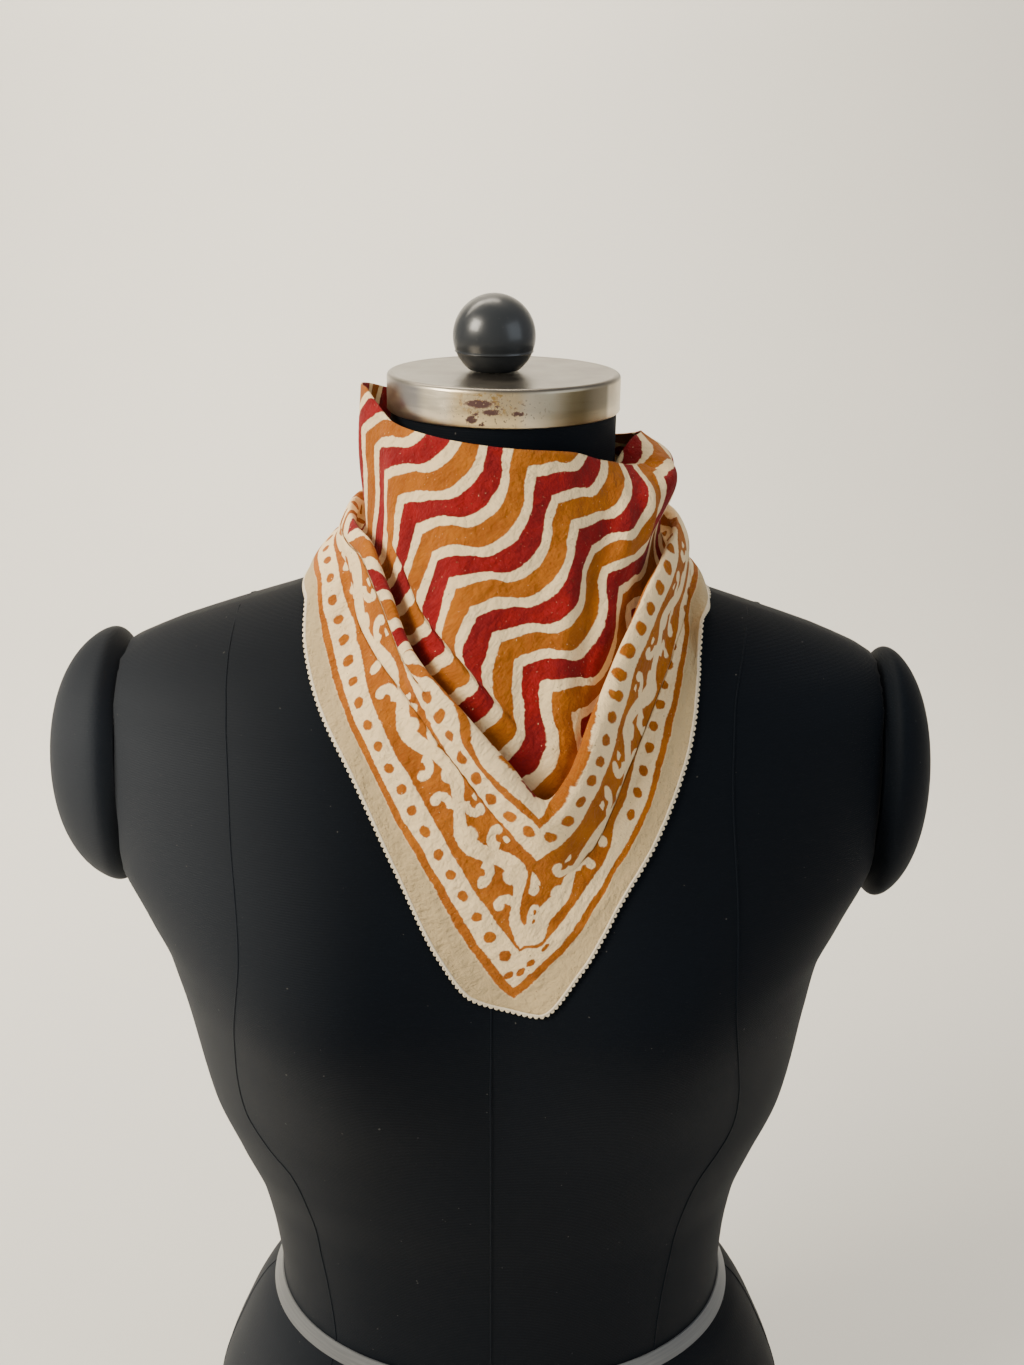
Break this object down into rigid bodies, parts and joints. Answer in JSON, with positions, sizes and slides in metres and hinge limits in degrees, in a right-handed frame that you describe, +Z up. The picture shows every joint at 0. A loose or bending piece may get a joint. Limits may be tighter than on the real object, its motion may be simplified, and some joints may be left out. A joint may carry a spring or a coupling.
{
  "type": "neckerchief on a limbless dress form",
  "caption": "Diagonal-folded cotton neckerchief, point in front and knotted at the nape, on a limbless dress form with a metal neck cap.",
  "frame": {"origin": "middle of the neck's axis on the dress form's flat base", "axes": "+Z up along the neck, front towards -Y, +X to the right of the picture"},
  "size_m": [0.4406, 0.2453, 0.7547],
  "materials": {
    "printed_cotton": "thin block-printed cotton, matte",
    "form_cloth": "black cotton jersey, matte",
    "waist_tape": "thin grey tape, satin",
    "cap_metal": "worn brushed plate with rust specks",
    "knob_gloss": "black moulded, glossy"
  },
  "bodies": {
    "root": {"kerchief_front": "printed_cotton", "kerchief_wrap_left": "printed_cotton", "kerchief_wrap_right": "printed_cotton", "kerchief_knot": "printed_cotton", "kerchief_tail_left": "printed_cotton", "kerchief_tail_right": "printed_cotton", "form_torso": "form_cloth", "arm_cover_left": "form_cloth", "arm_cover_right": "form_cloth", "waist_band": "waist_tape", "neck_cap": "cap_metal", "cap_knob": "knob_gloss"}
  },
  "joints": []
}
